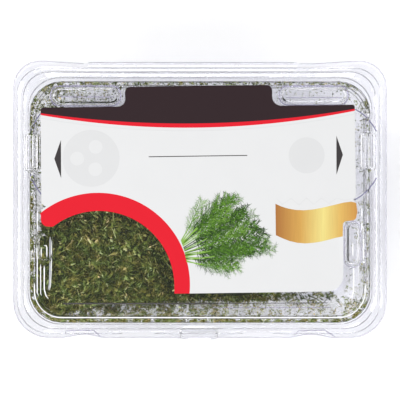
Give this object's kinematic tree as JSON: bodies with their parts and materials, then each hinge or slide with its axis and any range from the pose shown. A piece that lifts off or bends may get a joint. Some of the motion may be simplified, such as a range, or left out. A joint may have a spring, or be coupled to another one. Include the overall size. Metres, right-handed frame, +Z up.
{
  "type": "hinged clear clamshell pack of dried dill",
  "caption": "A shallow clear plastic clamshell pack with a hinged lid, part-filled with dried, cut dill weed banked to one side, with a die-cut label with a round window stuck on the raised platform of its lid.",
  "frame": {"origin": "Middle of the underside of the tray, at the centre of the pack's box in plan, with the lid closed.", "axes": "+Z up from the tray's floor through the lid; +X along the long side, to the right of someone reading the label with the hinge away from them; +Y across the pack to the hinge."},
  "size_m": [0.12, 0.0896, 0.0244],
  "materials": {
    "clear_tray": "gloss",
    "clear_lid": "gloss",
    "printed_label": "satin",
    "dried_dill": "matte"
  },
  "bodies": {
    "tray": {"tray": "clear_tray", "dill_weed": "dried_dill"},
    "lid": {"lid": "clear_lid", "label": "printed_label"}
  },
  "joints": [
    {"name": "lid_hinge", "type": "hinge", "parent": "tray", "child": "lid", "pos_m": [0, 0.0436, 0.0205], "axis": [-1, 0, 0], "range_deg": [0, 180]}
  ]
}
